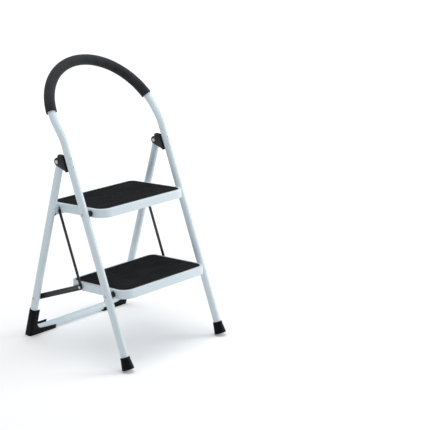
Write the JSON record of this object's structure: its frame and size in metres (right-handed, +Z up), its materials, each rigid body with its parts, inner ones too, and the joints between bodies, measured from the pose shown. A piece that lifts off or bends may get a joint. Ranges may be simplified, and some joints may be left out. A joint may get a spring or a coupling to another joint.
{
  "type": "step_stool",
  "caption": "Folding two-tread step stool: white tube front and rear frames, padded hoop grip above, non-slip treads, hinged links that swing everything flat for storage.",
  "frame": {"origin": "on the floor, under the middle of the open stool's bounding box", "axes": "+Z up; the side the user climbs from faces -Y; +X is to the right seen from that side"},
  "size_m": [0.4694, 0.5098, 0.9253],
  "materials": {
    "white_tube": "cool white powder coat on steel tube, low gloss",
    "white_sheet": "cool white powder coat on pressed steel sheet, low gloss",
    "grip_foam": "matte charcoal closed-cell foam sleeve",
    "tread_mat": "matte near-black rubber with fine lengthwise ribs",
    "foot_rubber": "satin black moulded rubber",
    "black_plastic": "satin black moulded plastic",
    "black_steel": "semi-gloss black painted flat steel bar with a pressed groove",
    "bright_steel": "bright zinc-plated rivets and pins"
  },
  "bodies": {
    "front": {"front_frame": "white_tube", "foam_grip": "grip_foam", "left_front_foot": "foot_rubber", "right_front_foot": "foot_rubber", "left_hinge_bracket": "black_plastic", "right_hinge_bracket": "black_plastic", "bracket_rivets": "bright_steel", "left_hinge_pin": "bright_steel", "right_hinge_pin": "bright_steel", "upper_left_spacer": "black_plastic", "upper_right_spacer": "black_plastic", "lower_left_spacer": "black_plastic", "lower_right_spacer": "black_plastic", "upper_tread_pins": "bright_steel", "lower_tread_pins": "bright_steel"},
    "rear": {"rear_frame": "white_tube", "rear_cross_bar": "white_tube", "cross_bar_collars": "black_plastic", "left_rear_foot": "foot_rubber", "right_rear_foot": "foot_rubber", "left_rear_cap": "black_plastic", "right_rear_cap": "black_plastic", "left_link_pin": "bright_steel", "right_link_pin": "bright_steel"},
    "upper_step": {"upper_tread": "white_sheet", "upper_mat": "tread_mat", "upper_rib": "white_sheet", "upper_strut_rivets": "bright_steel", "locking_clip": "black_plastic", "clip_rivets": "bright_steel"},
    "lower_step": {"lower_tread": "white_sheet", "lower_mat": "tread_mat", "lower_rib": "white_sheet", "lower_strut_rivets": "bright_steel"},
    "strut_left": {"left_strut": "black_steel"},
    "strut_right": {"right_strut": "black_steel"},
    "link_left": {"left_link": "black_steel", "left_link_rivet": "bright_steel"},
    "link_right": {"right_link": "black_steel", "right_link_rivet": "bright_steel"}
  },
  "joints": [
    {"name": "rear_fold", "type": "hinge", "parent": "front", "child": "rear", "pos_m": [0, 0.05195, 0.62994], "axis": [-1, 0, 0], "range_deg": [0, 37.9]},
    {"name": "upper_step_fold", "type": "hinge", "parent": "front", "child": "upper_step", "pos_m": [0, -0.05434, 0.47432], "axis": [1, 0, 0], "range_deg": [0, 66.5]},
    {"name": "lower_step_fold", "type": "hinge", "parent": "front", "child": "lower_step", "pos_m": [0, -0.14988, 0.22929], "axis": [1, 0, 0], "range_deg": [0, 66.5]},
    {"name": "left_strut_pivot", "type": "hinge", "parent": "upper_step", "child": "strut_left", "pos_m": [-0.1919, 0.09472, 0.4642], "axis": [-1, 0, 0], "range_deg": [0, 66.5]},
    {"name": "right_strut_pivot", "type": "hinge", "parent": "upper_step", "child": "strut_right", "pos_m": [0.1919, 0.09472, 0.4642], "axis": [-1, 0, 0], "range_deg": [0, 66.5]},
    {"name": "left_link_pivot", "type": "hinge", "parent": "rear", "child": "link_left", "pos_m": [-0.197, 0.19735, 0.14222], "axis": [-1, 0, 0], "range_deg": [0, 44.98]},
    {"name": "right_link_pivot", "type": "hinge", "parent": "rear", "child": "link_right", "pos_m": [0.197, 0.19735, 0.14222], "axis": [-1, 0, 0], "range_deg": [0, 44.98]}
  ],
  "couplings": [
    {"joint": "upper_step_fold", "follows": "rear_fold", "ratio": 1.7546},
    {"joint": "lower_step_fold", "follows": "rear_fold", "ratio": 1.7546},
    {"joint": "left_strut_pivot", "follows": "rear_fold", "ratio": 1.7546},
    {"joint": "right_strut_pivot", "follows": "rear_fold", "ratio": 1.7546},
    {"joint": "left_link_pivot", "follows": "rear_fold", "ratio": 1.1866},
    {"joint": "right_link_pivot", "follows": "rear_fold", "ratio": 1.1866}
  ]
}
